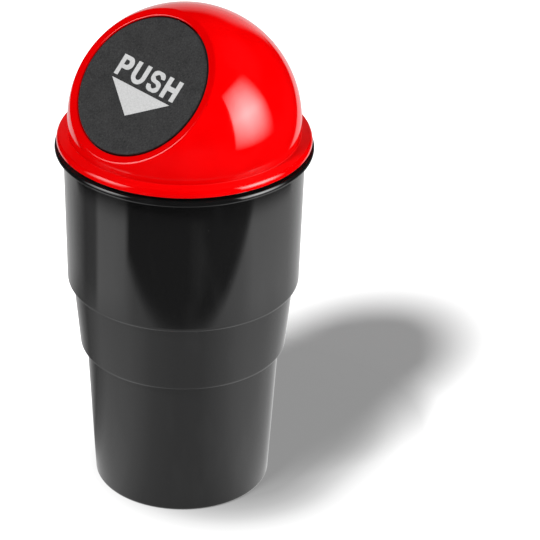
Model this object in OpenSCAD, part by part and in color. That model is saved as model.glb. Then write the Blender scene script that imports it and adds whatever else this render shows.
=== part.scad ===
// Cup-holder trash bin for a car: a stepped cup with a push-fit domed lid, whose slanted round
// mouth is closed by a flap that swings inward on a pin and is shut again by a torsion spring.
// The origin is the centre of the foot, +Z is up and the flap faces -Y.

/* [Bin] */
// Height of the bin from the foot to the top of its wall
bin_h = 124; // [112:1:140]
// Outer diameter of the rim
rim_d = 84; // [82.5:0.5:90]
// Height of the wall above the rim, where the lid rests
rim_drop = 1.35; // [0.6:0.05:2.4]
// Thickness of the rim
rim_t = 1.6; // [1.2:0.1:2.4]
// Radius that rounds the rim's edges
rim_round = 0.4; // [0.2:0.1:0.6]
// Reach of the rim beyond the upper section
rim_over = 2.8; // [2:0.1:4]
// Narrowing of the upper section from top to bottom, on the radius
upper_fall = 1.2; // [0.4:0.1:3]
// Width of the upper step
upper_step_w = 1.8; // [1:0.1:3]
// Narrowing of the middle section from top to bottom, on the radius
mid_fall = 2.4; // [0.4:0.1:3]
// Width of the lower step
lower_step_w = 2; // [1:0.1:3]
// Narrowing of the lower section from top to bottom, on the radius
low_fall = 2.9; // [0.4:0.1:4]
// Height of the upper step above the foot
upper_step_z = 73.1; // [66:0.5:84]
// Height of the lower step above the foot
lower_step_z = 49.1; // [40:0.5:58]
// Radius that rounds the lower corner of each step
step_round = 2; // [0.5:0.1:3]
// Radius that rounds the outer edge of the foot
foot_round = 1; // [0.5:0.1:2.5]
// Wall thickness of the bin
bin_wall = 1.5; // [1:0.1:2.2]
// Thickness of the floor
floor_t = 1.8; // [1.2:0.1:3]
// Depth of the recess under the floor
foot_recess = 0.6; // [0.3:0.1:1.5]
// Width of the ring that the bin stands on
foot_ring_w = 4; // [3:0.5:8]

/* [Lid] */
// Step from the rim's edge in to the dome
dome_inset = 4.2; // [3.6:0.1:5.4]
// Height of the dome's centre above the bin's wall
dome_rise = 7; // [6:0.5:12]
// Wall thickness of the dome
dome_wall = 1.8; // [1.2:0.1:2.2]
// Step from the rim's edge in to the flange of the lid
flange_inset = 0.65; // [0.5:0.05:2]
// Height of the flange's bulging side
flange_edge_h = 1.9; // [1.4:0.1:2.4]
// Height at which the flange meets the dome, above the bin's wall
flange_rise = 2.5; // [2.4:0.1:5]
// Radius of the bulge of the flange's side
flange_round = 2.4; // [1:0.1:3]
// Angle through which the flange's side bends inward
flange_bend = 45; // [20:1:60]
// Radius of the hollow between flange and dome
cove_round = 0.3; // [0.2:0.1:1.2]
// Depth of the plug that the lid pushes into the bin
plug_h = 8; // [4:0.5:14]
// Wall thickness of the plug
plug_wall = 1.8; // [1:0.1:2.2]
// Clearance between the plug and the bin's wall
plug_gap = 0.2; // [0.1:0.05:0.4]

/* [Mouth] */
// Angle of the mouth's axis above the horizon
mouth_tilt = 44; // [36:1:52]
// Diameter of the mouth, as a share of the dome's diameter
mouth_share = 0.64; // [0.56:0.005:0.66]
// Width of the flat ring round the mouth
mouth_land = 2.24; // [1.4:0.02:3]
// Depth of the mouth's wall
mouth_depth = 2.4; // [1.8:0.1:3]
// Radius of the mouth's inner edge
mouth_round = 0.6; // [0.2:0.1:0.9]
// Radius that rounds the face of the mouth into the dome
face_round = 1; // [0.3:0.1:1.6]

/* [Flap] */
// Gap between the flap and the mouth all round
flap_gap = 0.5; // [0.4:0.05:1]
// Thickness of the flap's disc
flap_t = 2.5; // [1.8:0.1:2.6]
// Height of the flap's face above the face of the mouth
flap_proud = 0.3; // [0:0.1:0.8]
// Radius of the edge round the flap's face
flap_round = 0.5; // [0.2:0.1:1]
// Reach of the flap's stop rim behind the mouth
stop_over = 1.3; // [0.8:0.1:1.6]
// Gap between the stop rim and the back of the mouth
stop_gap = 0.1; // [0.05:0.05:0.4]
// Thickness of the stop rim
stop_t = 1.4; // [1:0.1:2]
// Wall thickness of the skirt that carries the stop rim
skirt_t = 1.4; // [1:0.1:2.2]
// Distance from the hinge axis down to the ends of the stop rim
stop_drop = 6.5; // [5:0.5:12]

/* [Hinge] */
// Diameter of the hinge pin
pin_d = 2; // [1.6:0.1:2.4]
// Running clearance of the pin in the flap's knuckles, on the radius
knuckle_gap = 0.06; // [0.02:0.01:0.1]
// Clearance of the pin in its seats in the lid, on the radius
seat_gap = 0.03; // [0.01:0.01:0.08]
// Depth to which each end of the pin sinks into the dome's wall
pin_sink = 0.6; // [0.3:0.1:0.9]
// Width of the snap slot that the pin is pushed in through
snap_w = 1.7; // [1.2:0.1:1.8]
// Distance from the flap's top edge down to the hinge axis
hinge_drop = 3.2; // [3:0.1:5]
// Depth of the hinge axis behind the face of the mouth
hinge_depth = 4.4; // [4.3:0.1:5.5]
// Outer radius of the knuckles
knuckle_r = 2.5; // [2:0.1:2.6]
// Distance from the middle to the inner face of each knuckle
knuckle_x = 4.5; // [4:0.1:5]
// Width of each knuckle
knuckle_w = 4.2; // [3:0.1:4.5]
// Length of the gusset below each knuckle
gusset_l = 3.5; // [2:0.5:8]
// Outer radius of the ears that hold the pin
ear_r = 2.3; // [2:0.1:2.4]
// Width of each ear, from its inner face to the dome's wall
ear_w = 4; // [2.5:0.1:5]

/* [Spring] */
// Diameter of the spring's wire
wire_d = 0.6; // [0.4:0.05:0.7]
// Clearance between the coil and the pin
coil_gap = 0.35; // [0.2:0.05:0.4]
// Number of turns of the coil
coil_turns = 6; // [3:1:7]
// Rise of the coil in each turn
coil_pitch = 0.85; // [0.75:0.05:1]
// Length of the leg that presses on the flap
flap_leg = 11; // [6:0.5:16]
// Reach of the other leg behind the edge of the mouth
lid_leg_reach = 1.4; // [0.8:0.1:1.8]

/* [Hidden] */
$fn = 96;

// Overlap by which joined volumes run into each other
bond = 0.4;
// Reach of a cut beyond what it cuts
cut_over = 0.2;
// Width of the flat left inside the rounded corner of each step
step_flat = 0.1;

// Bin
rim_r = rim_d / 2;
rim_top_z = bin_h - rim_drop;
rim_low_z = rim_top_z - rim_t;
upper_top_r = rim_r - rim_over;
upper_low_r = upper_top_r - upper_fall;
mid_top_r = upper_low_r - upper_step_w;
mid_low_r = mid_top_r - mid_fall;
low_top_r = mid_low_r - lower_step_w;
foot_r = low_top_r - low_fall;
inner_top_r = upper_top_r - bin_wall;
// Fall of the bin's inner wall towards the axis, for each millimetre down
upper_taper = upper_fall / (rim_low_z - upper_step_z);
inner_round = 1;

// Lid
dome_z = bin_h + dome_rise;
dome_r = rim_r - dome_inset;
dome_in_r = dome_r - dome_wall;
flange_r = rim_r - flange_inset;
flange_z = bin_h + flange_rise;
plug_top_r = inner_top_r - plug_gap;
plug_low_r = plug_top_r - upper_taper * plug_h;
plug_in_r = plug_low_r - plug_wall;
plug_bevel = 0.5;
// Least height of the flange's upright side below its bend
upright_h = 0.1;
// Depth by which the hollow above the flange sinks into the dome
cove_sink = 0.1;

// Mouth, in a frame at the dome's centre: X across, Y up the slope, Z out of the mouth
mouth_r = dome_r * mouth_share;
face_edge_r = mouth_r + mouth_land;
// Distance from the dome's centre to the face of the mouth
face_dist = face_round + sqrt(pow(dome_r - face_round, 2) - pow(face_edge_r, 2));
lip_z = face_dist - mouth_depth;
face_edge_a = atan2(face_dist - face_round, face_edge_r);

// Flap
flap_r = mouth_r - flap_gap;
flap_front_z = face_dist + flap_proud;
flap_back_z = flap_front_z - flap_t;
stop_front_z = lip_z - stop_gap;
stop_back_z = stop_front_z - stop_t;
stop_r = mouth_r + stop_over;
skirt_inset = 0.15;
skirt_r = flap_r - skirt_inset;

// Hinge
pin_r = pin_d / 2;
hinge_y = flap_r - hinge_drop;
hinge_z = face_dist - hinge_depth;
// Distance from the middle to the dome's inner wall along the hinge axis
hinge_wall_x = sqrt(pow(dome_in_r, 2) - pow(hinge_z, 2) - pow(hinge_y, 2));
pin_half = hinge_wall_x + pin_sink;
ear_x = hinge_wall_x - ear_w;
// Length of an ear's root, which ends inside the dome's wall
ear_root = dome_r - hinge_y;

// Spring
coil_r = pin_r + coil_gap + wire_d / 2;
coil_len = coil_turns * coil_pitch;
turn_steps = 16;
wire_sides = 8;

// Points along a round stretch of an outline, from angle a0 to angle a1
function arc(x, y, r, a0, a1, n = 6) =
    [for (i = [0:n]) let (a = a0 + (a1 - a0) * i / n) [x + r * cos(a), y + r * sin(a)]];

// Rounded lower corner of a section of the bin that starts at height z
function step_corner(r, z, above) =
    let (q = min(step_round, above)) arc(r - q, z + q, q, -90, 0);

// Outline of the bin's wall, from the axis outward and up, and back down inside
bin_outline = concat(
    [[0, foot_recess], [foot_r - foot_ring_w, foot_recess],
        [foot_r - foot_ring_w + foot_recess, 0]],
    arc(foot_r - foot_round, foot_round, foot_round, -90, 0),
    [[low_top_r, lower_step_z]],
    step_corner(mid_low_r, lower_step_z, lower_step_w - step_flat),
    [[mid_top_r, upper_step_z]],
    step_corner(upper_low_r, upper_step_z, upper_step_w - step_flat),
    [[upper_top_r, rim_low_z]],
    arc(rim_r - rim_round, rim_low_z + rim_round, rim_round, -90, 0, 4),
    arc(rim_r - rim_round, rim_top_z - rim_round, rim_round, 0, 90, 4),
    [[upper_top_r, rim_top_z], [upper_top_r, bin_h], [inner_top_r, bin_h]],
    [[upper_low_r - bin_wall, upper_step_z + bin_wall + inner_round],
        [mid_top_r - bin_wall, upper_step_z + bin_wall]],
    [[mid_low_r - bin_wall, lower_step_z + bin_wall + inner_round],
        [low_top_r - bin_wall, lower_step_z + bin_wall]],
    arc(foot_r - bin_wall - inner_round, foot_recess + floor_t + inner_round, inner_round,
        0, -90, 4),
    [[0, foot_recess + floor_t]]);

module bin() {
    color([0.07, 0.07, 0.075]) rotate_extrude() polygon(bin_outline);
}

// Places children in the frame of the mouth, at the dome's centre
module at_mouth() {
    translate([0, 0, dome_z]) rotate([90 - mouth_tilt, 0, 0]) children();
}

// Places children on the hinge axis, with the mouth's directions
module at_hinge() {
    at_mouth() translate([0, hinge_y, hinge_z]) children();
}

// Outline of the dome's wall, turned round the mouth's axis, with the wall of the mouth in it
dome_outline = concat(
    arc(0, 0, dome_in_r, -90, asin(lip_z / dome_in_r), 44),
    [[mouth_r, lip_z]],
    arc(mouth_r + mouth_round, face_dist - mouth_round, mouth_round, 180, 90, 5),
    arc(face_edge_r, face_dist - face_round, face_round, 90, face_edge_a, 5),
    arc(0, 0, dome_r, face_edge_a, -90, 44));

// The flange's bulging side ends at a crease, from which its top slopes up to the dome
side_a = min(flange_bend, asin(min(1, (flange_edge_h - upright_h) / flange_round)));
side_low_z = bin_h + flange_edge_h - flange_round * sin(side_a);
crease_r = flange_r - flange_round * (1 - cos(side_a));
flange_slope = atan2(flange_rise - flange_edge_h, crease_r - dome_r);
cove_x = sqrt(pow(dome_r, 2) - pow(flange_z - dome_z, 2)) - cove_sink + cove_round;

// Outline of the flange and the plug, turned round the bin's axis
flange_outline = concat(
    [[plug_in_r, bin_h - plug_h], [plug_low_r - plug_bevel, bin_h - plug_h],
        [plug_low_r, bin_h - plug_h + plug_bevel], [plug_top_r, bin_h], [flange_r, bin_h]],
    arc(flange_r - flange_round, side_low_z, flange_round, 0, side_a, 5),
    arc(cove_x, flange_z + cove_round, cove_round, 270 - flange_slope, 180, 5),
    [[dome_r - dome_wall / 2, flange_z + bond], [plug_in_r, flange_z]]);

// Side view of an ear: a round end about the pin, and a root that runs up into the dome
ear_outline = concat(arc(0, 0, ear_r, 90, 270, 12), [[ear_root, -ear_r], [ear_root, ear_r]]);

module pin_ear() {
    intersection() {
        at_hinge() translate([ear_x, 0, 0]) rotate([90, 0, 90])
            linear_extrude(height = dome_in_r - ear_x) polygon(ear_outline);
        translate([0, 0, dome_z]) sphere(r = dome_in_r + dome_wall / 2);
    }
}

// Seat of the pin in both ears, open towards the inside through the snap slot
module pin_seat() {
    reach = pin_half + cut_over;
    slot_in = ear_x - cut_over;
    at_hinge() {
        translate([-reach, 0, 0]) rotate([0, 90, 0])
            cylinder(r = pin_r + seat_gap, h = 2 * reach);
        for (side = [-1, 1]) translate([side * (slot_in + reach) / 2, 0, -ear_r])
            cube([reach - slot_in, snap_w, 2 * ear_r], center = true);
    }
}

module lid_dome() {
    color([0.85, 0.02, 0.02]) difference() {
        union() {
            intersection() {
                at_mouth() rotate_extrude() polygon(dome_outline);
                translate([0, 0, flange_z - bond]) cylinder(r = rim_r, h = 2 * dome_r);
            }
            rotate_extrude() polygon(flange_outline);
            pin_ear();
            mirror([1, 0, 0]) pin_ear();
        }
        pin_seat();
    }
}

// Outline of the flap's disc, turned round the mouth's axis
disc_outline = concat(
    [[0, flap_back_z], [flap_r, flap_back_z]],
    arc(flap_r - flap_round, flap_front_z - flap_round, flap_round, 0, 90, 4),
    [[0, flap_front_z]]);

// Outline of the skirt behind the disc and of the stop rim that it carries
stop_outline = [
    [skirt_r - skirt_t, flap_back_z + bond], [skirt_r, flap_back_z + bond],
    [skirt_r, stop_front_z], [stop_r, stop_front_z],
    [stop_r, stop_back_z], [skirt_r - skirt_t, stop_back_z]];

// Side view of a knuckle: a barrel about the pin, and a gusset that runs down the disc and
// meets the barrel where it is tangent
knuckle_root = flap_back_z + bond - hinge_z;
gusset_foot = -knuckle_r - gusset_l;
// Angle at which the barrel ends above the pin, past a whole turn
barrel_end_a = 40;
gusset_a = atan2(knuckle_root, gusset_foot) + acos(knuckle_r / norm([gusset_foot, knuckle_root]));
knuckle_outline = concat(
    arc(0, 0, knuckle_r, gusset_a, 360 + barrel_end_a, 14),
    [[knuckle_r * cos(barrel_end_a), knuckle_root], [gusset_foot, knuckle_root]]);

module knuckle() {
    at_hinge() translate([knuckle_x, 0, 0]) rotate([90, 0, 90])
        linear_extrude(height = knuckle_w) polygon(knuckle_outline);
}

module flap() {
    color([0.22, 0.22, 0.23]) difference() {
        union() {
            at_mouth() rotate_extrude() polygon(disc_outline);
            intersection() {
                at_mouth() rotate_extrude() polygon(stop_outline);
                at_hinge() translate([-dome_r, -stop_drop - 2 * dome_r, -dome_r])
                    cube(2 * dome_r);
            }
            knuckle();
            mirror([1, 0, 0]) knuckle();
        }
        at_hinge() translate([-ear_x, 0, 0]) rotate([0, 90, 0])
            cylinder(r = pin_r + knuckle_gap, h = 2 * ear_x);
    }
}

module hinge_pin() {
    bevel = 0.2;
    color([0.75, 0.76, 0.78]) at_hinge() rotate([0, 90, 0]) rotate_extrude()
        polygon([[0, -pin_half], [pin_r - bevel, -pin_half], [pin_r, -pin_half + bevel],
            [pin_r, pin_half - bevel], [pin_r - bevel, pin_half], [0, pin_half]]);
}

// Stations of the spring's wire on the hinge axis: a point, and the direction away from the axis.
// One leg comes down from behind the mouth's edge, the coil turns along the pin, and the
// other leg runs down the back of the flap.
lid_leg = mouth_r + lid_leg_reach - hinge_y;
coil_stations = [for (i = [0:coil_turns * turn_steps])
    let (a = 90 + 360 * i / turn_steps, x = -coil_len / 2 + coil_pitch * i / turn_steps)
    [[x, coil_r * cos(a), coil_r * sin(a)], [0, cos(a), sin(a)]]];
wire_stations = concat(
    [[[-coil_len / 2, lid_leg, coil_r], [0, 0, 1]]],
    coil_stations,
    [[[coil_len / 2, -flap_leg, coil_r], [0, 0, 1]]]);

// Direction in which the wire runs at station i
function wire_run(i) =
    let (last = len(wire_stations) - 1,
        p = wire_stations[max(i - 1, 0)][0], q = wire_stations[min(i + 1, last)][0])
    (q - p) / norm(q - p);

// Ring of points round the wire at station i
function wire_ring(i) =
    let (s = wire_stations[i], side = cross(wire_run(i), s[1]))
    [for (k = [0:wire_sides - 1]) let (a = 360 * k / wire_sides)
        s[0] + wire_d / 2 * (cos(a) * s[1] + sin(a) * side / norm(side))];

module torsion_spring() {
    rings = len(wire_stations);
    points = [for (i = [0:rings - 1]) each wire_ring(i)];
    sides = [for (i = [0:rings - 2], k = [0:wire_sides - 1])
        let (a = i * wire_sides, n = (k + 1) % wire_sides)
        [a + k, a + n, a + wire_sides + n, a + wire_sides + k]];
    first_end = [for (k = [wire_sides - 1:-1:0]) k];
    last_end = [for (k = [0:wire_sides - 1]) (rings - 1) * wire_sides + k];
    color([0.6, 0.61, 0.63]) at_hinge() polyhedron(points, concat([first_end], sides, [last_end]));
}

bin();
lid_dome();
flap();
hinge_pin();
torsion_spring();
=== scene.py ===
# Looks of the car trash bin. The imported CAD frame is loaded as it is, and each of its solids is
# replaced by a smooth mesh of the same form. Sizes in millimetres repeat those of the part's source.
from math import acos, asin, atan2, cos, degrees, hypot, pi, radians, sin, sqrt, tan, tau

import bmesh
import bpy
from mathutils import Euler, Matrix, Vector
from mathutils.geometry import tessellate_polygon


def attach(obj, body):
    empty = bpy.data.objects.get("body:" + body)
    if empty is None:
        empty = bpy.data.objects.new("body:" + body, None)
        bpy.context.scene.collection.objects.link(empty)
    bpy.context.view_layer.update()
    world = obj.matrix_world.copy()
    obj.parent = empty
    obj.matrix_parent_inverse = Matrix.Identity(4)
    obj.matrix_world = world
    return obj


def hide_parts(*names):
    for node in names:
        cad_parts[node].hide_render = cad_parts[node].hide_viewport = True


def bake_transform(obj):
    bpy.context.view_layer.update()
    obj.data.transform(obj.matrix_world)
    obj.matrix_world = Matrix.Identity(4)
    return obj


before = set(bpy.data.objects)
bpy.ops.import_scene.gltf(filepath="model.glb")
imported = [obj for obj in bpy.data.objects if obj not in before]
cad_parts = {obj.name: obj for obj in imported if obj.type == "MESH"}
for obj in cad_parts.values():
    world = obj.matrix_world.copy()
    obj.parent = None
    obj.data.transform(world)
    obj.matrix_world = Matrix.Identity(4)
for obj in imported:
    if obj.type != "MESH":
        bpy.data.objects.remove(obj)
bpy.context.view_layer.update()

MM = 0.001
STEPS = 256

# Sizes of the part

BIN_H = 124.0
RIM_R = 42.0
RIM_TOP_Z = BIN_H - 1.35
RIM_LOW_Z = RIM_TOP_Z - 1.6
RIM_BULGE, RIM_BEND, RIM_DRAFT = 1.5, radians(42), 0.1
UPPER_TOP_R, UPPER_LOW_R, UPPER_STEP_Z = 39.2, 38.0, 73.1
MID_TOP_R, MID_LOW_R, LOWER_STEP_Z = 36.2, 33.8, 49.1
LOW_TOP_R, FOOT_R = 31.8, 28.9
BIN_WALL, FLOOR_T, FOOT_RECESS, FOOT_RING_W = 1.5, 1.8, 0.6, 4.0

DOME_Z, DOME_R, DOME_WALL = 131.0, 37.8, 1.8
DOME_IN_R = DOME_R - DOME_WALL
FLANGE_INSET = 0.65
FLANGE_R = RIM_R - FLANGE_INSET
CREASE_Z, FLANGE_Z = BIN_H + 2.05, BIN_H + 2.5
SIDE_ROUND, SIDE_BEND = 2.0, radians(45)
SIDE_LOW_Z = CREASE_Z - SIDE_ROUND * sin(SIDE_BEND)
CREASE_ROUND, COVE_ROUND = 0.2, 0.3
PLUG_DEPTH = 8.0
PLUG_LOW_Z = BIN_H - PLUG_DEPTH
PLUG_TOP_R, PLUG_LOW_R, PLUG_IN_R = 37.5, 37.3, 35.5

MOUTH_TILT = radians(44)
MOUTH_R = DOME_R * 0.64
FACE_ROUND = 1.0
MOUTH_LAND, LIP_DEPTH = 2.24, 2.4
FACE_EDGE_R = MOUTH_R + MOUTH_LAND
FACE_W = FACE_ROUND + sqrt((DOME_R - FACE_ROUND) ** 2 - FACE_EDGE_R ** 2)
LIP_W = FACE_W - LIP_DEPTH
MOUTH_EDGE_ROUND = 0.45

FLAP_GAP, FLAP_PROUD, FLAP_T = 0.5, 0.3, 2.5
FLAP_R = MOUTH_R - FLAP_GAP
FLAP_FRONT_W = FACE_W + FLAP_PROUD
FLAP_BACK_W = FLAP_FRONT_W - FLAP_T
FLAP_ROUND = 0.5
SKIRT_R, SKIRT_T = FLAP_R - 0.15, 1.4
STOP_R, STOP_FRONT_W, STOP_T = MOUTH_R + 1.3, LIP_W - 0.1, 1.4

HINGE_V, HINGE_W = FLAP_R - 3.2, FACE_W - 4.4
STOP_END_V = HINGE_V - 6.5
PIN_R, KNUCKLE_BORE_R, SEAT_R = 1.0, 1.06, 1.03
WALL_X = sqrt(DOME_IN_R ** 2 - HINGE_V ** 2 - HINGE_W ** 2)
PIN_HALF = WALL_X + 0.6
KNUCKLE_R, KNUCKLE_X, KNUCKLE_WIDTH, GUSSET_L = 2.5, 4.5, 4.2, 3.5
BARREL_END = 40
EAR_R, EAR_X, SNAP_W = 2.3, WALL_X - 4.0, 1.7

WIRE_R, COIL_R, COIL_TURNS, COIL_PITCH = 0.3, 1.65, 6, 0.85
LID_LEG, FLAP_LEG = MOUTH_R + 1.4 - HINGE_V, 11.0


# Places

def level(x, y, z):
    """A point of the part's own frame, in metres."""
    return Vector((x, y, z)) * MM


def at_mouth(x, v, w):
    """A point across, up the slope and out of the mouth, measured from the dome's centre."""
    c, s = cos(MOUTH_TILT), sin(MOUTH_TILT)
    return level(x, -w * c + v * s, DOME_Z + w * s + v * c)


def at_hinge(x, v, w):
    """A point measured from the hinge axis, with the mouth's directions."""
    return at_mouth(x, HINGE_V + v, HINGE_W + w)


# Outlines

def arc(x, y, r, a0, a1, n=10):
    """Points along a round stretch, from angle a0 to angle a1 in degrees."""
    turn = [radians(a0 + (a1 - a0) * i / n) for i in range(n + 1)]
    return [(x + r * cos(a), y + r * sin(a)) for a in turn]


def rounded(corners, n=8, closed=False):
    """An outline from (x, y) or (x, y, radius) corners, with each given radius as a round corner.
    A point close to each end of a round keeps the shading of the straight stretches flat."""
    out = []
    count = len(corners)
    for i, corner in enumerate(corners):
        p = Vector(corner[:2])
        r = corner[2] if len(corner) > 2 else 0
        if not r or (not closed and i in (0, count - 1)):
            out.append(tuple(p))
            continue
        a = (Vector(corners[i - 1][:2]) - p).normalized()
        b = (Vector(corners[(i + 1) % count][:2]) - p).normalized()
        half = a.angle(b) / 2
        reach = r / tan(half)
        centre = p + (a + b).normalized() * (r / sin(half))
        start = p + a * reach - centre
        turn = (pi - 2 * half) * (1 if a.cross(b) < 0 else -1)
        out.append(tuple(p + a * (reach + 0.25 * r)))
        for k in range(n + 1):
            t = turn * k / n
            out.append((centre.x + start.x * cos(t) - start.y * sin(t),
                        centre.y + start.x * sin(t) + start.y * cos(t)))
        out.append(tuple(p + b * (reach + 0.25 * r)))
    return out


def divided(points, longest):
    """The outline with its long stretches divided, so that no face is much longer than that."""
    out = [points[0]]
    for p, q in zip(points, points[1:]):
        n = max(1, int(hypot(q[0] - p[0], q[1] - p[1]) / longest))
        out += [(p[0] + (q[0] - p[0]) * k / n, p[1] + (q[1] - p[1]) * k / n) for k in range(1, n + 1)]
    return out


# Meshes

def finish_mesh(name, verts, faces, body, node=None, material=None, sharp=38):
    """A smooth-shaded object from points in metres, with edges sharper than the angle kept crisp."""
    mesh = bpy.data.meshes.new(name)
    mesh.from_pydata([tuple(v) for v in verts], [], faces)
    b = bmesh.new()
    b.from_mesh(mesh)
    bmesh.ops.remove_doubles(b, verts=b.verts, dist=1e-7)
    bmesh.ops.dissolve_degenerate(b, edges=b.edges, dist=1e-8)
    bmesh.ops.recalc_face_normals(b, faces=b.faces)
    for f in b.faces:
        f.smooth = True
    for e in b.edges:
        e.smooth = len(e.link_faces) == 2 and e.calc_face_angle(0) < radians(sharp)
    b.to_mesh(mesh)
    b.free()
    piece = bpy.data.objects.new(name, mesh)
    bpy.context.collection.objects.link(piece)
    if material:
        mesh.materials.append(material)
    if body:
        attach(piece, body)
    if node:
        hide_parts(node)
    return piece


def ring_faces(n_rings, n_points, closed_rings=True, closed_points=True):
    """Quads between rings of points that follow each other."""
    rows = n_rings if closed_rings else n_rings - 1
    cols = n_points if closed_points else n_points - 1
    return [(i * n_points + k, i * n_points + (k + 1) % n_points,
             (i + 1) % n_rings * n_points + (k + 1) % n_points, (i + 1) % n_rings * n_points + k)
            for i in range(rows) for k in range(cols)]


def turned(outline, place, steps=STEPS):
    """Points and faces of an outline of (r, h) turned round; it starts and ends on the axis."""
    verts = [place(r * sin(tau * k / steps), -r * cos(tau * k / steps), h)
             for r, h in outline for k in range(steps)]
    return verts, ring_faces(len(outline), steps, closed_rings=False)


def slab(loops, place, low, high):
    """Points and faces of a flat plate: an outer loop and its holes, between two depths."""
    flat = [p for loop in loops for p in loop]
    count = len(flat)
    verts = [place(x, y, d) for d in (low, high) for x, y in flat]
    tris = tessellate_polygon([[Vector((x, y, 0)) for x, y in loop] for loop in loops])
    faces = [tuple(t) for t in tris] + [tuple(i + count for i in reversed(t)) for t in tris]
    start = 0
    for loop in loops:
        n = len(loop)
        faces += [(start + k, start + (k + 1) % n, start + (k + 1) % n + count, start + k + count)
                  for k in range(n)]
        start += n
    return verts, faces


def joined(*parts):
    """Several (points, faces) as one."""
    verts, faces = [], []
    for v, f in parts:
        faces += [tuple(i + len(verts) for i in face) for face in f]
        verts += v
    return verts, faces


# Materials

def math_node(tree, operation, a, b=None):
    """The result of a Math node on numbers or on the outputs of other nodes."""
    node = tree.nodes.new("ShaderNodeMath")
    node.operation = operation
    for socket, value in zip(node.inputs, (a, b)):
        if isinstance(value, (int, float)):
            socket.default_value = value
        elif value is not None:
            tree.links.new(value, socket)
    return node.outputs[0]


class Shade:
    """A material with a Principled surface whose colour, roughness and relief come from nodes."""

    def __init__(self, name, **uniform):
        self.material = bpy.data.materials.new(name)
        self.material.use_nodes = True
        self.tree = self.material.node_tree
        self.surface = self.tree.nodes["Principled BSDF"]
        self.where = self.tree.nodes.new("ShaderNodeTexCoord").outputs["Object"]
        split = self.tree.nodes.new("ShaderNodeSeparateXYZ")
        self.tree.links.new(self.where, split.inputs[0])
        self.height = split.outputs[2]
        for socket, value in uniform.items():
            self.surface.inputs[socket.replace("_", " ")].default_value = value

    def noise(self, size, detail=2.0, stretch=(1, 1, 1), shift=0.0):
        """Noise whose features are about size millimetres across."""
        scaled = self.tree.nodes.new("ShaderNodeMapping")
        scaled.inputs["Scale"].default_value = [s / (size * MM) for s in stretch]
        scaled.inputs["Location"].default_value = (shift, shift, shift)
        noise = self.tree.nodes.new("ShaderNodeTexNoise")
        noise.inputs["Scale"].default_value = 1.0
        noise.inputs["Detail"].default_value = detail
        self.tree.links.new(self.where, scaled.inputs["Vector"])
        self.tree.links.new(scaled.outputs["Vector"], noise.inputs["Vector"])
        return noise.outputs["Fac"]

    def specks(self, size, share):
        """1 in small round spots, spaced about size millimetres, over about that share of them."""
        scaled = self.tree.nodes.new("ShaderNodeMapping")
        scaled.inputs["Scale"].default_value = [1 / (size * MM)] * 3
        cells = self.tree.nodes.new("ShaderNodeTexVoronoi")
        cells.inputs["Scale"].default_value = 1.0
        self.tree.links.new(self.where, scaled.inputs["Vector"])
        self.tree.links.new(scaled.outputs["Vector"], cells.inputs["Vector"])
        return self.mapped(cells.outputs["Distance"], share, share * 0.6, 0, 1)

    def mapped(self, value, low, high, to_low, to_high):
        """The value from low..high brought to to_low..to_high."""
        node = self.tree.nodes.new("ShaderNodeMapRange")
        ends = {"From Min": low, "From Max": high, "To Min": to_low, "To Max": to_high}
        for socket, number in ends.items():
            node.inputs[socket].default_value = number
        self.tree.links.new(value, node.inputs["Value"])
        return node.outputs["Result"]

    def combined(self, operation, a, b):
        return math_node(self.tree, operation, a, b)

    def colour(self, value, low, high, ends=(0.3, 0.7)):
        """Base colour from one tone to another over the given range of the value."""
        ramp = self.tree.nodes.new("ShaderNodeValToRGB")
        ramp.color_ramp.elements[0].position, ramp.color_ramp.elements[1].position = ends
        ramp.color_ramp.elements[0].color = (*low, 1)
        ramp.color_ramp.elements[1].color = (*high, 1)
        self.tree.links.new(value, ramp.inputs["Fac"])
        self.tree.links.new(ramp.outputs["Color"], self.surface.inputs["Base Color"])

    def link(self, value, socket):
        self.tree.links.new(value, self.surface.inputs[socket])

    def roughness(self, value, low, high):
        self.link(self.mapped(value, 0.3, 0.7, low, high), "Roughness")

    def relief(self, *layers):
        """Bump from (value, depth in millimetres) layers."""
        normal = None
        for value, depth in layers:
            node = self.tree.nodes.new("ShaderNodeBump")
            node.inputs["Distance"].default_value = depth * MM
            self.tree.links.new(value, node.inputs["Height"])
            if normal:
                self.tree.links.new(normal, node.inputs["Normal"])
            normal = node.outputs["Normal"]
        self.tree.links.new(normal, self.surface.inputs["Normal"])


def black_plastic():
    """Polished black moulding: faint flow marks, a slightly uneven gloss and a little dust."""
    m = Shade("bin_black", IOR=1.5, Specular_IOR_Level=0.5)
    flow = m.noise(9, 2, stretch=(1, 1, 0.25))
    m.colour(m.combined("MAXIMUM", m.mapped(flow, 0, 1, 0, 0.5), m.specks(6.5, 0.035)),
             (0.0046, 0.0046, 0.0047), (0.03, 0.03, 0.03), ends=(0.28, 1.0))
    m.roughness(m.noise(14, 3, stretch=(1, 1, 0.4)), 0.05, 0.11)
    m.relief((m.noise(26, 1, stretch=(1, 1, 0.35)), 0.05), (m.noise(1.6, 1), 0.0008))
    return m.material


def red_plastic():
    """Polished red moulding with a faint unevenness in tone and gloss, satin on the flange's top."""
    m = Shade("lid_red", IOR=1.5, Specular_IOR_Level=0.5)
    m.colour(m.noise(11, 2), (0.575, 0.0, 0.0003), (0.63, 0.0003, 0.0008))
    band = m.combined("MULTIPLY", m.mapped(m.height, CREASE_Z * MM, (CREASE_Z + 0.1) * MM, 0, 1),
                      m.mapped(m.height, (FLANGE_Z + 0.5) * MM, (FLANGE_Z + 0.3) * MM, 0, 1))
    m.link(m.combined("MAXIMUM", m.mapped(m.noise(12, 3, shift=5), 0.3, 0.7, 0.045, 0.085),
                      m.combined("MULTIPLY", band, 0.4)), "Roughness")
    m.link(m.mapped(band, 0, 1, 0.5, 0.12), "Specular IOR Level")
    m.relief((m.noise(22, 1), 0.03), (m.noise(1.8, 1), 0.0008))
    return m.material


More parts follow.
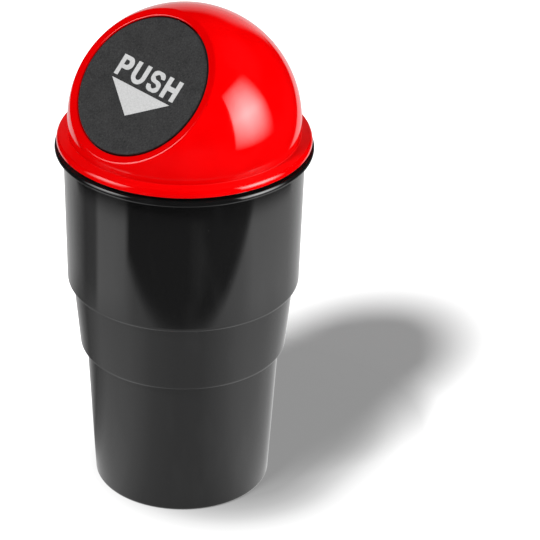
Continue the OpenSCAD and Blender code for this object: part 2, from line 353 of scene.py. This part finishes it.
def grained_plastic():
    """Matte dark grey moulding with a fine spark-eroded grain."""
    m = Shade("flap_grey", IOR=1.45, Specular_IOR_Level=0.2)
    grain = m.noise(0.55, 3)
    tone = m.combined("ADD", m.mapped(grain, 0, 1, 0, 0.75), m.mapped(m.noise(4, 2), 0, 1, 0, 0.25))
    m.colour(m.combined("MAXIMUM", tone, m.specks(1.1, 0.16)),
             (0.0150, 0.0150, 0.0153), (0.06, 0.06, 0.0605), ends=(0.32, 1.0))
    m.roughness(m.noise(0.8, 2, shift=3), 0.48, 0.66)
    m.relief((grain, 0.05), (m.noise(0.25, 2), 0.015))
    return m.material


def printed_grey():
    """Pale grey print that takes the grain below it."""
    m = Shade("print_grey", IOR=1.45, Specular_IOR_Level=0.2)
    m.colour(m.noise(0.5, 3), (0.43, 0.43, 0.43), (0.52, 0.52, 0.52))
    m.roughness(m.noise(0.8, 2, shift=3), 0.5, 0.7)
    m.relief((m.noise(0.55, 3), 0.02))
    return m.material


def drawn_steel(name, tone):
    """Bright drawn steel with fine lines along the wire."""
    m = Shade(name, Metallic=1.0)
    lines = m.noise(0.5, 3, stretch=(0.05, 1, 1))
    m.colour(lines, [t * 0.8 for t in tone], tone)
    m.roughness(lines, 0.22, 0.38)
    m.relief((lines, 0.004))
    return m.material


# The bin

def make_bin(material):
    bulge_z = RIM_TOP_Z - RIM_BULGE * sin(RIM_BEND)
    bulge = arc(RIM_R - RIM_BULGE, bulge_z, RIM_BULGE, 0, degrees(RIM_BEND), 8)
    outline = rounded([
        (0, FOOT_RECESS),
        (FOOT_R - FOOT_RING_W, FOOT_RECESS, 0.15),
        (FOOT_R - FOOT_RING_W + FOOT_RECESS, 0, 0.15),
        (FOOT_R, 0, 1.0),
        (LOW_TOP_R, LOWER_STEP_Z, 0.2),
        (MID_LOW_R, LOWER_STEP_Z, 1.5),
        (MID_TOP_R, UPPER_STEP_Z, 0.2),
        (UPPER_LOW_R, UPPER_STEP_Z, 1.4),
        (UPPER_TOP_R, RIM_LOW_Z, 0.2),
        (RIM_R - RIM_DRAFT, RIM_LOW_Z, 0.3),
        *bulge,
        (UPPER_TOP_R, RIM_TOP_Z, 0.15),
        (UPPER_TOP_R, BIN_H, 0.1),
        (UPPER_TOP_R - BIN_WALL, BIN_H, 0.3),
        (UPPER_LOW_R - BIN_WALL, UPPER_STEP_Z + BIN_WALL + 1, 1.0),
        (MID_TOP_R - BIN_WALL, UPPER_STEP_Z + BIN_WALL, 0.5),
        (MID_LOW_R - BIN_WALL, LOWER_STEP_Z + BIN_WALL + 1, 1.0),
        (LOW_TOP_R - BIN_WALL, LOWER_STEP_Z + BIN_WALL, 0.5),
        (FOOT_R - BIN_WALL, FOOT_RECESS + FLOOR_T, 1.0),
        (0, FOOT_RECESS + FLOOR_T)])
    verts, faces = turned(divided(outline, 6), level)
    piece = finish_mesh("bin_body", verts, faces, "bin", "bin", material)


# The lid

def level_ring(r, z):
    return [level(r * sin(tau * k / STEPS), -r * cos(tau * k / STEPS), z) for k in range(STEPS)]


def mouth_ring(r, w):
    return [at_mouth(r * sin(tau * k / STEPS), -r * cos(tau * k / STEPS), w) for k in range(STEPS)]


def between(start, end, rows):
    """Rings on a sphere about the dome's centre, from one ring to another, both left out."""
    centre = level(0, 0, DOME_Z)
    rings = []
    for i in range(1, rows):
        t = i / rows
        ring = []
        for p, q in zip(start, end):
            a, b = p - centre, q - centre
            angle = a.angle(b)
            ring.append(centre + (a * sin((1 - t) * angle) + b * sin(t * angle)) / sin(angle))
        rings.append(ring)
    return rings


def flange_top():
    """The flange's bulging side, the crease at its top, the slope and the hollow at the dome."""
    cove_z = FLANGE_Z + COVE_ROUND
    cove_r = sqrt((DOME_R + COVE_ROUND) ** 2 - (DOME_Z - cove_z) ** 2)
    side_r = FLANGE_R - SIDE_ROUND
    inner = SIDE_ROUND - CREASE_ROUND
    crease_r, crease_z = side_r + inner * cos(SIDE_BEND), SIDE_LOW_Z + inner * sin(SIDE_BEND)
    rise, run = cove_z - crease_z, crease_r - cove_r
    slope = atan2(rise, run) - asin((CREASE_ROUND + COVE_ROUND) / hypot(rise, run))
    side = arc(side_r, SIDE_LOW_Z, SIDE_ROUND, 0, degrees(SIDE_BEND), 12)
    crease = arc(crease_r, crease_z, CREASE_ROUND, degrees(SIDE_BEND), 90 - degrees(slope), 6)
    dome_end = 180 - degrees(asin((DOME_Z - cove_z) / (DOME_R + COVE_ROUND)))
    hollow = arc(cove_r, cove_z, COVE_ROUND, 270 - degrees(slope), dome_end, 8)
    step = Vector((-cos(slope), sin(slope))) * 0.08
    flat = [Vector(crease[-1]) + step, Vector(hollow[0]) - step]
    return side + crease[1:] + [tuple(p) for p in flat] + hollow


def ear(side):
    """A snap ear: a C round the pin, open to the inside, on a root that runs into the dome."""
    opening = degrees(asin(SNAP_W / 2 / SEAT_R))
    cheek = degrees(asin(SNAP_W / 2 / EAR_R))
    reach = DOME_R - HINGE_V
    outline = (arc(0, 0, EAR_R, 270 - cheek, 90, 14)
               + [(reach, EAR_R), (reach, -EAR_R), (SNAP_W / 2, -EAR_R)]
               + arc(0, 0, SEAT_R, -90 + opening, 270 - opening, 28)
               + [(-SNAP_W / 2, -sqrt(EAR_R ** 2 - SNAP_W ** 2 / 4))])

    def place(v, w, far):
        radial_v, radial_w = HINGE_V + v, HINGE_W + w
        middle = DOME_IN_R + DOME_WALL / 2
        radial_v = min(radial_v, sqrt(middle ** 2 - EAR_X ** 2 - radial_w ** 2))
        wall = sqrt(max(middle ** 2 - radial_v ** 2 - radial_w ** 2, EAR_X ** 2))
        return at_mouth(side * (max(wall, EAR_X + 0.02) if far else EAR_X), radial_v, radial_w)

    return slab([outline], place, 0, 1)


def make_lid(material):
    plug = rounded([(PLUG_IN_R, PLUG_LOW_Z + 3), (PLUG_IN_R, PLUG_LOW_Z, 0.4),
                    (PLUG_LOW_R, PLUG_LOW_Z, 0.5),
                    (PLUG_TOP_R, BIN_H, 0.2), (FLANGE_R, BIN_H, 0.12), (FLANGE_R, SIDE_LOW_Z)])
    flange = flange_top()
    foot = flange[-1]
    edge_a = atan2(FACE_W - FACE_ROUND, FACE_EDGE_R)
    edge = (DOME_R * cos(edge_a), DOME_R * sin(edge_a))
    face = arc(FACE_EDGE_R, FACE_W - FACE_ROUND, FACE_ROUND, degrees(edge_a), 90, 12)[1:]
    lip_r = sqrt(DOME_IN_R ** 2 - LIP_W ** 2)
    mouth = rounded([(FACE_EDGE_R, FACE_W), (MOUTH_R, FACE_W, MOUTH_EDGE_ROUND),
                     (MOUTH_R, LIP_W, 0.15), (lip_r, LIP_W)])
    ledge_r = sqrt(DOME_IN_R ** 2 - (DOME_Z - FLANGE_Z) ** 2)

    rings = [level_ring(r, z) for r, z in plug[:-1] + flange]
    top = mouth_ring(*edge)
    rings += between(rings[-1], top, 72)
    rings.append(top)
    rings += [mouth_ring(r, w) for r, w in face + [(FACE_EDGE_R - 0.15, FACE_W)] + mouth[1:]]
    inner_foot = level_ring(ledge_r, FLANGE_Z)
    rings += between(rings[-1], inner_foot, 48)
    rings.append(inner_foot)
    rings.append(level_ring(PLUG_IN_R, FLANGE_Z - 0.3))
    shell = ([p for ring in rings for p in ring], ring_faces(len(rings), STEPS))
    verts, faces = joined(shell, ear(1), ear(-1))
    piece = finish_mesh("lid_shell", verts, faces, "lid", "lid_dome", material)


# The flap

def stop_rim():
    """The skirt behind the disc and its stop rim, which end on a level across the flap."""
    outline = rounded([(SKIRT_R - SKIRT_T, FLAP_BACK_W + 0.4), (SKIRT_R, FLAP_BACK_W + 0.4),
                       (SKIRT_R, STOP_FRONT_W), (STOP_R, STOP_FRONT_W, 0.2),
                       (STOP_R, STOP_FRONT_W - STOP_T, 0.3),
                       (SKIRT_R - SKIRT_T, STOP_FRONT_W - STOP_T, 0.3)], n=4, closed=True)
    stations = 160
    verts = []
    for k in range(stations + 1):
        for r, w in outline:
            turn = (pi - acos(STOP_END_V / r)) * (2 * k / stations - 1)
            verts.append(at_mouth(r * sin(turn), -r * cos(turn), w))
    n = len(outline)
    faces = ring_faces(stations + 1, n, closed_rings=False)
    faces += [tuple(range(n)), tuple(range(stations * n, (stations + 1) * n))]
    return verts, faces


def knuckle(side):
    """A barrel round the pin with a gusset that runs down the back of the disc."""
    root = FLAP_BACK_W + 0.4 - HINGE_W
    foot = -KNUCKLE_R - GUSSET_L
    start = degrees(atan2(root, foot)) + degrees(acos(KNUCKLE_R / hypot(foot, root)))
    outline = arc(0, 0, KNUCKLE_R, start, 360 + BARREL_END, 32)
    outline += [(KNUCKLE_R * cos(radians(BARREL_END)), root), (foot, root)]
    bore = arc(0, 0, KNUCKLE_BORE_R, 0, 345, 23)
    near, far = side * KNUCKLE_X, side * (KNUCKLE_X + KNUCKLE_WIDTH)
    return slab([outline, bore], lambda v, w, x: at_hinge(x, v, w), near, far)


def make_flap(material):
    disc = divided(rounded([(0, FLAP_BACK_W), (FLAP_R, FLAP_BACK_W, 0.15),
                            (FLAP_R, FLAP_FRONT_W, FLAP_ROUND), (0, FLAP_FRONT_W)]), 3)
    verts, faces = joined(turned(disc, at_mouth), stop_rim(), knuckle(1), knuckle(-1))
    piece = finish_mesh("flap_disc", verts, faces, "flap", "flap", material)


# The marks printed on the flap

MARK_TURN = radians(-2.0)
BASE, CAP = -0.55, 6.65
BAR_H = 1.5
STEM_W = 1.85
PRINT_T = 0.03


def letter_p(x0, x1):
    bowl_low, stem = 2.1, STEM_W * 0.93
    r = (CAP - bowl_low) / 2
    middle = CAP - r
    outer = [(x0, BASE), (x0 + stem, BASE), (x0 + stem, bowl_low)]
    outer += arc(x1 - r, middle, r, -90, 90, 24) + [(x0, CAP)]
    inner_r = r - BAR_H * 0.93
    side = x1 - STEM_W * 1.1
    hole = [(x0 + stem, middle - inner_r)]
    hole += arc(side - inner_r, middle, inner_r, -90, 90, 16) + [(x0 + stem, middle + inner_r)]
    return [outer, hole]


def letter_u(x0, x1):
    r = (x1 - x0) / 2
    x, y = x0 + r, BASE + r - 0.1
    outer = [(x0, CAP)] + arc(x, y, r, 180, 360, 32) + [(x1, CAP), (x1 - STEM_W, CAP)]
    return [outer + arc(x, y - 0.35, r - STEM_W, 360, 180, 24) + [(x0 + STEM_W, CAP)]]


def letter_s(x0, x1):
    half_v, half_h = 0.68, 0.55
    top, low = CAP - half_h, BASE + half_h
    middle, rx = (top + low) / 2, (x1 - x0) / 2 - half_v
    ry = (top - middle) / 2
    x = (x0 + x1) / 2
    spine = [(x + rx * cos(radians(a)), top - ry + ry * sin(radians(a))) for a in range(-2, 249, 10)]
    spine += [(x + rx * cos(radians(a)), low + ry + ry * sin(radians(a))) for a in range(68, -187, -10)]
    left, right = [], []
    for i, p in enumerate(spine):
        a, b = Vector(spine[max(i - 1, 0)]), Vector(spine[min(i + 1, len(spine) - 1)])
        run = (b - a).normalized()
        half = half_v * abs(run.y) + half_h * abs(run.x)
        left.append((p[0] - run.y * half, p[1] + run.x * half))
        right.append((p[0] + run.y * half, p[1] - run.x * half))
    return [left + right[::-1]]


def letter_h(x0, x1):
    bar_low = 2.25
    bar_top = bar_low + BAR_H + 0.15
    a, b = x0 + STEM_W, x1 - STEM_W
    return [[(x0, BASE), (a, BASE), (a, bar_low), (b, bar_low), (b, BASE), (x1, BASE), (x1, CAP),
             (b, CAP), (b, bar_top), (a, bar_top), (a, CAP), (x0, CAP)]]


def make_marks(material):
    """The word for what the flap is for, in plain block letters, over an arrow that points to it."""
    arrow = [[(-12.35, -1.72), (0.75, -11.05), (14.15, -1.72)]]
    shapes = [letter_p(-12.6, -7.0), letter_u(-5.95, 0.15), letter_s(1.65, 7.05), letter_h(8.4, 14.6),
              arrow]

    def place(x, y, d):
        c, s = cos(MARK_TURN), sin(MARK_TURN)
        return at_mouth(x * c - y * s, x * s + y * c, FLAP_FRONT_W + d)

    verts, faces = joined(*[slab(loops, place, -0.02, PRINT_T) for loops in shapes])
    piece = finish_mesh("push_mark", verts, faces, "flap", None, material)


# The pin and the spring

def make_pin(material):
    outline = rounded([(0, -PIN_HALF), (PIN_R, -PIN_HALF, 0.2), (PIN_R, PIN_HALF, 0.2), (0, PIN_HALF)])
    verts, faces = turned(divided(outline, 3), lambda a, b, h: at_hinge(h, a, b), 48)
    piece = finish_mesh("hinge_rod", verts, faces, "lid", "hinge_pin", material)


def make_spring(material):
    """The wire: down from behind the mouth's edge, round the pin, and down the back of the flap."""
    half = COIL_TURNS * COIL_PITCH / 2
    per_turn, sides = 40, 12
    path = [(-half, LID_LEG * (1 - t / 6), COIL_R) for t in range(6)]
    for i in range(COIL_TURNS * per_turn + 1):
        a = radians(90 + 360 * i / per_turn)
        path.append((-half + COIL_PITCH * i / per_turn, COIL_R * cos(a), COIL_R * sin(a)))
    path += [(half, -FLAP_LEG * t / 10, COIL_R) for t in range(1, 11)]
    verts = []
    for i, p in enumerate(path):
        run = (Vector(path[min(i + 1, len(path) - 1)]) - Vector(path[max(i - 1, 0)])).normalized()
        out = Vector((1, 0, 0))
        out = (out - run * out.dot(run)).normalized()
        over = run.cross(out)
        for k in range(sides):
            a = tau * k / sides
            q = Vector(p) + (out * cos(a) + over * sin(a)) * WIRE_R
            verts.append(at_hinge(*q))
    faces = ring_faces(len(path), sides, closed_rings=False)
    faces += [tuple(range(sides)), tuple(range(len(verts) - sides, len(verts)))]
    piece = finish_mesh("spring_wire", verts, faces, None, "torsion_spring", material)
    at_hinge(-half, 0, 0)
    at_hinge(half, 0, 0)
    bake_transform(piece)


# The camera, fitted to the photograph: its side, place, aim, roll and lens

CAMERA_AZ = radians(45.198)
CAMERA_AT = Vector((0.748924, -0.743753, 0.665751))
AIM_RIGHT, AIM_UP = 28.48, 75.570
CAMERA_ROLL = radians(1.2295)
CAMERA_LENS = 245.0


def make_camera():
    data = bpy.data.cameras.new("camera")
    data.sensor_width = 36
    data.lens = CAMERA_LENS
    camera = bpy.data.objects.new("camera", data)
    aim = level(AIM_RIGHT * cos(CAMERA_AZ), AIM_RIGHT * sin(CAMERA_AZ), AIM_UP)
    turn = (aim - CAMERA_AT).to_track_quat("-Z", "Y").to_matrix().to_4x4()
    camera.matrix_world = Matrix.Translation(CAMERA_AT) @ turn @ Matrix.Rotation(CAMERA_ROLL, 4, "Z")
    bpy.context.collection.objects.link(camera)
    bpy.context.scene.camera = camera


class Studio:
    """Nodes of the floor and the world that give a brightness by the direction from the object."""

    def __init__(self, tree, vector):
        self.tree = tree
        split = tree.nodes.new("ShaderNodeSeparateXYZ")
        tree.links.new(vector, split.inputs[0])
        self.x, self.y, self.z = split.outputs
        c, s = cos(CAMERA_AZ), sin(CAMERA_AZ)
        front = self.math("SUBTRACT", self.math("MULTIPLY", self.x, s), self.math("MULTIPLY", self.y, c))
        right = self.math("ADD", self.math("MULTIPLY", self.x, c), self.math("MULTIPLY", self.y, s))
        self.front, self.right = front, right
        self.azimuth = self.math("DIVIDE", self.math("ARCTAN2", right, front), pi / 180)
        self.radius = self.math("SQRT", self.math("ADD", self.math("MULTIPLY", self.x, self.x),
                                                  self.math("MULTIPLY", self.y, self.y)))

    def math(self, operation, a, b=None):
        return math_node(self.tree, operation, a, b)

    def product(self, first, *others):
        for other in others:
            first = self.math("MULTIPLY", first, other)
        return first

    def mixed(self, share, low, high):
        """From low to high as the share goes from 0 to 1."""
        rest = self.math("SUBTRACT", 1.0, share)
        return self.math("ADD", self.product(low, rest), self.product(high, share))

    def around(self, stops):
        """A brightness by the angle to the right of the camera's side, in degrees."""
        return self.steps(self.azimuth, stops)

    def steps(self, value, stops):
        """A brightness that runs through (value, brightness) stops."""
        node = self.tree.nodes.new("ShaderNodeValToRGB")
        ramp = node.color_ramp
        low, high = stops[0][0], stops[-1][0]
        top = max(b for _, b in stops)
        for i, (at, brightness) in enumerate(stops):
            if i > 1:
                ramp.elements.new((at - low) / (high - low))
            ramp.elements[i].position = (at - low) / (high - low)
            ramp.elements[i].color = (*[brightness / top] * 3, 1)
        span = self.math("DIVIDE", self.math("SUBTRACT", value, low), high - low)
        self.tree.links.new(span, node.inputs["Fac"])
        return self.math("MULTIPLY", node.outputs["Color"], top)


# The studio's light

# Brightness that polished surfaces see on the table near the object, by angle to the right of the
# camera's side
NEAR_ROUND = [(-180, 0.8), (-138, 0.6), (-126, 0.4), (-114, 0.2), (-102, 0.4), (-90, 0.7), (-78, 0.85),
              (-66, 0.95), (-54, 1.0), (-42, 0.9), (-30, 0.72), (-6, 0.6), (18, 0.62), (42, 0.92),
              (54, 1.1), (66, 1.1), (90, 0.85), (114, 0.75), (138, 0.8), (180, 0.8)]
# The same further out
OUTER_ROUND = [(-180, 0.8), (-126, 0.75), (-112, 0.5), (-102, 0.25), (-88, 0.4), (-83, 1.15), (-66, 1.3),
               (-53, 1.2), (-44, 0.85), (0, 0.85), (54, 1.2), (66, 1.5), (78, 1.35), (90, 1.15),
               (102, 0.95), (114, 0.8), (130, 0.87), (180, 0.87)]
# The same where the panel on the left lights the table
LEFT_ROUND = [(-180, 0.0), (-88, 0.0), (-83, 1.15), (-66, 1.35), (-54, 1.3), (-49, 0.0), (180, 0.0)]
# The same for the panel itself, and how it grows with height
PANEL_ROUND = [(-180, 0.0), (-95, 0.0), (-89, 0.55), (-80, 1.0), (-68, 1.0), (-57, 0.45), (-50, 0.0),
               (180, 0.0)]
PANEL_UP = [(-1.0, 0.1), (0.1, 0.2), (0.2, 0.5), (0.34, 0.7), (0.5, 1.0), (0.62, 1.0), (0.67, 0.0),
            (1.0, 0.0)]
PANEL = 7.04
# The same for the backdrop above the table
BACK_ROUND = [(-180, 1.0), (-160, 1.0), (-153, 0.0), (153, 0.0), (160, 1.0), (180, 1.0)]
BACK_UP = [(-1.0, 1.0), (0.12, 1.0), (0.216, 0.74), (0.30, 0.58), (0.383, 0.15), (0.43, 0.0), (1.0, 0.0)]
BACK, BACK_ABOVE = 0.8, 0.64
# Where the table's parts meet, in metres: from near to further out, the bowed edge of the dark part in
# front, the end of the table, and the sides and the start of the backdrop's own reflection on it
OUTER_FROM = [(0.0, 0.0), (0.130, 0.0), (0.165, 1.0), (1.0, 1.0)]
FRONT_FROM = [(-1, 0.0), (0.141, 0.0), (0.152, 1.0), (1, 1.0)]
FRONT_DARK, FRONT_BOW = 0.09, 1.1
TABLE_END = [(0.0, 0.0), (0.221, 0.0), (0.236, 1.0), (1.0, 1.0)]
BEHIND_SIDES = [(-1, 1.0), (0.170, 1.0), (0.186, 0.0), (1, 0.0)]
BEHIND_FROM = [(-1, 1.0), (-0.02, 1.0), (0.0, 0.0), (1, 0.0)]
BEHIND_SPREAD = 0.295
# The floor's own tone, what is added to it for the camera, the even light from all round, and the glow
# added for the camera under the painted shade at the foot, in place of the even light that shade takes off
FLOOR_SIZE, FLOOR_TONE, FLOOR_LIFT = 8, 0.90, 0.20
FILL, FILL_AT_FOOT = 0.12, 0.085
# Lamps: strength, height, softness, and the angle from the side that the flap faces
KEY, KEY_HEIGHT, KEY_SOFTNESS, KEY_SIDE = 1.0, radians(54.5), radians(11), 0.0
TABLE_LAMP, TABLE_HEIGHT, TABLE_SOFTNESS, TABLE_SIDE = 2.2, radians(50.2), radians(17), radians(4.5)
BACK_LAMP, BACK_HEIGHT, BACK_SOFTNESS, BACK_SIDE = 0.35, radians(40), radians(40), CAMERA_AZ + radians(115)
# How much the shade painted round the foot dims the table's colour, by distance in metres from its
# middle line, and the ends of that line, to the right and in front of the foot's centre
PAINTED_FOOT_SHADE = [(0.0, 0.05), (0.026, 0.07), (0.033, 0.16), (0.038, 0.26), (0.043, 0.40), (0.048, 0.50),
              (0.055, 0.57), (0.065, 1.0), (0.13, 1.0)]
PAINTED_SHADE_FROM, PAINTED_SHADE_TO = (0.0155, -0.005), (0.028, -0.024)
# The softbox: strength, side, size in metres, and how bright it is across and up
SOFTBOX = 13.4
SOFTBOX_AZ = radians(72)
SOFTBOX_SIZE = (0.445, 0.61)
SOFTBOX_LOW, SOFTBOX_AWAY = 0.03, 0.5
SOFTBOX_AIM = level(33, -5, 147)
SOFTBOX_ACROSS = [(0.0, 0.0), (0.12, 0.2), (0.35, 0.75), (0.6, 1.0), (0.85, 0.7), (0.97, 0.5), (1.0, 0.0)]
SOFTBOX_UP = [(0.0, 0.0), (0.06, 0.15), (0.19, 0.47), (0.43, 1.0), (0.52, 0.82), (0.74, 0.45), (0.9, 0.2),
              (1.0, 0.0)]


def painted_shade_at_foot(studio):
    """The soft shade painted into the table's colour round the foot, wider in front on the right."""
    start, run = Vector(PAINTED_SHADE_FROM), Vector(PAINTED_SHADE_TO) - Vector(PAINTED_SHADE_FROM)
    right = studio.math("SUBTRACT", studio.right, start.x)
    front = studio.math("SUBTRACT", studio.front, start.y)
    along = studio.math("ADD", studio.math("MULTIPLY", right, run.x / run.length_squared),
                        studio.math("MULTIPLY", front, run.y / run.length_squared))
    along = studio.math("MINIMUM", studio.math("MAXIMUM", along, 0.0), 1.0)
    right = studio.math("SUBTRACT", right, studio.math("MULTIPLY", along, run.x))
    front = studio.math("SUBTRACT", front, studio.math("MULTIPLY", along, run.y))
    away = studio.math("SQRT", studio.math("ADD", studio.math("MULTIPLY", right, right),
                                           studio.math("MULTIPLY", front, front)))
    return studio.steps(away, PAINTED_FOOT_SHADE)


def seen_on_table(studio):
    """The brightness that polished surfaces see on the table and, behind it, of the backdrop."""
    out_there = studio.steps(studio.radius, OUTER_FROM)
    table = studio.mixed(out_there, studio.around(NEAR_ROUND), studio.around(OUTER_ROUND))
    bow = studio.math("ADD", studio.front, studio.product(studio.right, studio.right, FRONT_BOW))
    table = studio.mixed(studio.steps(bow, FRONT_FROM), table, FRONT_DARK)
    table = studio.math("MAXIMUM", table, studio.product(out_there, studio.around(LEFT_ROUND)))
    spread = studio.math("ADD", studio.math("ABSOLUTE", studio.right),
                         studio.product(studio.front, BEHIND_SPREAD))
    behind = studio.product(studio.steps(spread, BEHIND_SIDES), BACK,
                            studio.steps(studio.front, BEHIND_FROM))
    return studio.mixed(studio.steps(studio.radius, TABLE_END), table, behind)


def make_floor():
    bpy.ops.mesh.primitive_plane_add(size=FLOOR_SIZE, location=(0, 0, 0))
    floor = bpy.context.object
    floor.name = "floor"
    material = bpy.data.materials.new("floor_white")
    material.use_nodes = True
    tree = material.node_tree
    tree.nodes.clear()
    rays = tree.nodes.new("ShaderNodeLightPath")
    studio = Studio(tree, tree.nodes.new("ShaderNodeNewGeometry").outputs["Position"])
    seen = seen_on_table(studio)
    shade = painted_shade_at_foot(studio)
    plain = tree.nodes.new("ShaderNodeBsdfDiffuse")
    # The painted shade at the foot darkens the table's colour, and the camera's glow rises under it
    tree.links.new(studio.math("MULTIPLY", shade, FLOOR_TONE), plain.inputs["Color"])
    glow = tree.nodes.new("ShaderNodeEmission")
    lift = studio.mixed(shade, FLOOR_LIFT + FILL_AT_FOOT, FLOOR_LIFT)
    tree.links.new(studio.math("MULTIPLY", rays.outputs["Is Camera Ray"], lift), glow.inputs["Strength"])
    both = tree.nodes.new("ShaderNodeAddShader")
    tree.links.new(plain.outputs[0], both.inputs[0])
    tree.links.new(glow.outputs[0], both.inputs[1])
    mirrored = tree.nodes.new("ShaderNodeEmission")
    tree.links.new(seen, mirrored.inputs["Strength"])
    pick = tree.nodes.new("ShaderNodeMixShader")
    tree.links.new(rays.outputs["Is Glossy Ray"], pick.inputs[0])
    tree.links.new(both.outputs[0], pick.inputs[1])
    tree.links.new(mirrored.outputs[0], pick.inputs[2])
    out = tree.nodes.new("ShaderNodeOutputMaterial")
    tree.links.new(pick.outputs[0], out.inputs["Surface"])
    material.cycles.emission_sampling = "NONE"
    floor.data.materials.append(material)


def make_world():
    world = bpy.data.worlds.new("studio")
    bpy.context.scene.world = world
    world.use_nodes = True
    world.cycles.sampling_method = "NONE"
    tree = world.node_tree
    tree.nodes.clear()
    rays = tree.nodes.new("ShaderNodeLightPath")
    studio = Studio(tree, tree.nodes.new("ShaderNodeTexCoord").outputs["Generated"])
    back = studio.product(studio.around(BACK_ROUND), studio.steps(studio.z, BACK_UP), BACK_ABOVE)
    side = studio.product(studio.around(PANEL_ROUND), studio.steps(studio.z, PANEL_UP), PANEL)
    plain = studio.math("MAXIMUM", rays.outputs["Is Camera Ray"], FILL)
    picked = studio.mixed(rays.outputs["Is Glossy Ray"], plain, studio.math("ADD", back, side))
    shade = tree.nodes.new("ShaderNodeBackground")
    shade.inputs["Color"].default_value = (1, 1, 1, 1)
    tree.links.new(picked, shade.inputs["Strength"])
    out = tree.nodes.new("ShaderNodeOutputWorld")
    tree.links.new(shade.outputs[0], out.inputs["Surface"])


def make_lamp(name, strength, height, softness, side):
    """A lamp that casts a shadow: side is its angle from the side that the flap faces."""
    data = bpy.data.lights.new(name, "SUN")
    data.energy = strength * pi
    data.angle = softness
    lamp = bpy.data.objects.new(name, data)
    lamp.rotation_euler = Euler((pi / 2 - height, 0, side))
    lamp.visible_glossy = False
    bpy.context.collection.objects.link(lamp)
    return lamp


def shine_past_floor(lamp):
    """Keeps the light of a lamp or a panel off the floor."""
    unlit = bpy.data.collections.new(lamp.name + "_leaves_out")
    unlit.objects.link(bpy.data.objects["floor"])
    lamp.light_linking.receiver_collection = unlit
    unlit.collection_objects[0].light_linking.link_state = "EXCLUDE"


def shine_on_floor(lamp):
    """Keeps the light of a lamp to the floor alone."""
    lit = bpy.data.collections.new(lamp.name + "_lights")
    lit.objects.link(bpy.data.objects["floor"])
    lamp.light_linking.receiver_collection = lit


def make_back_lamp():
    """A weak lamp behind the object on the right, which keeps the lid's colour full at its edge."""
    lamp = make_lamp("back_lamp", BACK_LAMP, BACK_HEIGHT, BACK_SOFTNESS, BACK_SIDE)
    lamp.data.use_shadow = False
    shine_past_floor(lamp)


def make_softbox():
    """The lit panel on the camera's right, whose reflection shows on the dome. It is brightest near
    its middle, fades at its edges, and lights the object but not the floor."""
    turn = CAMERA_AZ + SOFTBOX_AZ
    width, height = SOFTBOX_SIZE
    toward = Vector((sin(turn), -cos(turn), 0))
    bpy.ops.mesh.primitive_plane_add(size=1)
    panel = bpy.context.object
    panel.name = "softbox"
    panel.scale = (width, height, 1)
    panel.location = SOFTBOX_AIM + toward * SOFTBOX_AWAY
    panel.location.z = SOFTBOX_LOW + height / 2
    panel.rotation_euler = (toward * -1).to_track_quat("Z", "Y").to_euler()
    panel.visible_camera = False
    panel.visible_shadow = False
    material = bpy.data.materials.new("softbox")
    material.use_nodes = True
    tree = material.node_tree
    tree.nodes.clear()
    place = Studio(tree, tree.nodes.new("ShaderNodeTexCoord").outputs["Generated"])
    across = place.steps(place.x, SOFTBOX_ACROSS)
    up = place.steps(place.y, SOFTBOX_UP)
    glow = tree.nodes.new("ShaderNodeEmission")
    facing = tree.nodes.new("ShaderNodeNewGeometry").outputs["Backfacing"]
    bright = place.product(across, up, SOFTBOX, place.math("SUBTRACT", 1.0, facing))
    tree.links.new(bright, glow.inputs["Strength"])
    out = tree.nodes.new("ShaderNodeOutputMaterial")
    tree.links.new(glow.outputs[0], out.inputs["Surface"])
    panel.data.materials.append(material)
    shine_past_floor(panel)


def main():
    view = bpy.context.scene.view_settings
    view.view_transform = "Standard"
    make_camera()
    make_floor()
    make_world()
    shine_past_floor(make_lamp("key", KEY, KEY_HEIGHT, KEY_SOFTNESS, KEY_SIDE))
    shine_on_floor(make_lamp("table_lamp", TABLE_LAMP, TABLE_HEIGHT, TABLE_SOFTNESS, TABLE_SIDE))
    make_softbox()
    make_back_lamp()
    make_bin(black_plastic())
    make_lid(red_plastic())
    make_flap(grained_plastic())
    make_marks(printed_grey())
    make_pin(drawn_steel("pin_steel", (0.62, 0.63, 0.65)))
    make_spring(drawn_steel("spring_steel", (0.50, 0.51, 0.53)))


main()
